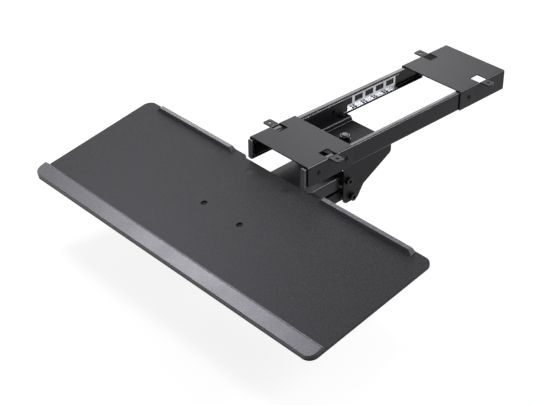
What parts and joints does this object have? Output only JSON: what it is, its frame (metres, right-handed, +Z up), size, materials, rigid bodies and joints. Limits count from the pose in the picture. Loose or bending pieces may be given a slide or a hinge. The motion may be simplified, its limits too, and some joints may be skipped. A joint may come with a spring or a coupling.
{
  "type": "keyboard tray under desk",
  "caption": "Wide steel keyboard tray with a palm rest and rear stops, on a tilting and lowering arm that swivels under a ball-slide track screwed beneath a desk.",
  "frame": {"origin": "middle of the rectangle of four desk screw holes, on the face that meets the underside of the desk", "axes": "+Z up, out of the desk face; +Y to the back of the desk; +X to the user's right"},
  "size_m": [0.65, 0.7128, 0.1175],
  "materials": {
    "powder_coat": "fine-grained satin black powder coat",
    "zinc_plate": "bright zinc plate",
    "black_oxide": "smooth black, slightly glossy",
    "slide_steel": "smooth satin black",
    "bumper_rubber": "satin grey",
    "nylon": "matt black",
    "palm_foam": "soft matt dark grey"
  },
  "bodies": {
    "base": {"front_bracket": "powder_coat", "rear_bracket": "powder_coat", "outer_rail_left": "slide_steel", "outer_rail_right": "slide_steel", "rail_bumpers": "bumper_rubber", "rail_screws": "black_oxide"},
    "cage_left": {"ball_cage_left": "zinc_plate", "bearing_balls_left": "zinc_plate"},
    "cage_right": {"ball_cage_right": "zinc_plate", "bearing_balls_right": "zinc_plate"},
    "carriage": {"inner_rail_left": "slide_steel", "inner_rail_right": "slide_steel", "slide_bracket_left": "powder_coat", "slide_bracket_right": "powder_coat", "carriage_plate": "powder_coat", "carriage_screws": "black_oxide", "ledge_screws": "black_oxide", "ledge_nuts": "black_oxide", "swivel_washer": "zinc_plate"},
    "swivel_saddle": {"saddle": "powder_coat", "swivel_disc_pad": "nylon", "swivel_bolt": "black_oxide", "swivel_nut": "black_oxide", "rear_pivot_bolts": "black_oxide", "rear_pivot_nuts": "black_oxide", "rear_pivot_spacers": "nylon"},
    "arm": {"upper_arm": "powder_coat", "arm_cross_pin": "zinc_plate"},
    "link": {"lower_link": "powder_coat"},
    "head": {"head_bracket": "powder_coat", "front_pivot_bolts": "black_oxide", "front_pivot_nuts": "black_oxide", "front_pivot_spacers": "nylon", "tilt_pivot_bolt": "black_oxide", "tilt_pivot_nut": "black_oxide", "clamp_bolt": "black_oxide", "clamp_tube": "powder_coat"},
    "tray": {"tilt_plate": "powder_coat", "tray_panel": "powder_coat", "palm_rest": "palm_foam", "rear_stop_left": "nylon", "rear_stop_right": "nylon", "tray_screws": "black_oxide", "tray_studs": "zinc_plate", "tray_nuts": "zinc_plate"},
    "knob": {"clamp_knob": "nylon"}
  },
  "joints": [
    {"name": "glide", "type": "slide", "parent": "base", "child": "carriage", "axis": [0, 1, 0], "range_m": [0, 0.12]},
    {"name": "cage_left_glide", "type": "slide", "parent": "base", "child": "cage_left", "axis": [0, 1, 0], "range_m": [0, 0.06]},
    {"name": "cage_right_glide", "type": "slide", "parent": "base", "child": "cage_right", "axis": [0, 1, 0], "range_m": [0, 0.06]},
    {"name": "swivel", "type": "hinge", "parent": "carriage", "child": "swivel_saddle", "pos_m": [0, -0.08525, -0.037], "axis": [0, 0, 1], "range_deg": [-10, 10]},
    {"name": "lift", "type": "hinge", "parent": "swivel_saddle", "child": "arm", "pos_m": [0, -0.13125, -0.0715], "axis": [1, 0, 0], "range_deg": [0, 28]},
    {"name": "link_turn", "type": "hinge", "parent": "swivel_saddle", "child": "link", "pos_m": [0, -0.12175, -0.105], "axis": [1, 0, 0], "range_deg": [0, 28]},
    {"name": "head_turn", "type": "hinge", "parent": "arm", "child": "head", "pos_m": [0, -0.2662, -0.07503], "axis": [1, 0, 0], "range_deg": [-28, 0]},
    {"name": "tilt", "type": "hinge", "parent": "head", "child": "tray", "pos_m": [0, -0.26572, -0.05673], "axis": [-1, 0, 0], "range_deg": [0, 8]},
    {"name": "clamp_turn", "type": "hinge", "parent": "head", "child": "knob", "pos_m": [0.06, -0.328, -0.08324], "axis": [1, 0, 0], "range_deg": [0, 270]}
  ],
  "couplings": [
    {"joint": "cage_left_glide", "follows": "glide", "ratio": 0.5},
    {"joint": "cage_right_glide", "follows": "glide", "ratio": 0.5},
    {"joint": "link_turn", "follows": "lift", "ratio": 1},
    {"joint": "head_turn", "follows": "lift", "ratio": -1}
  ]
}
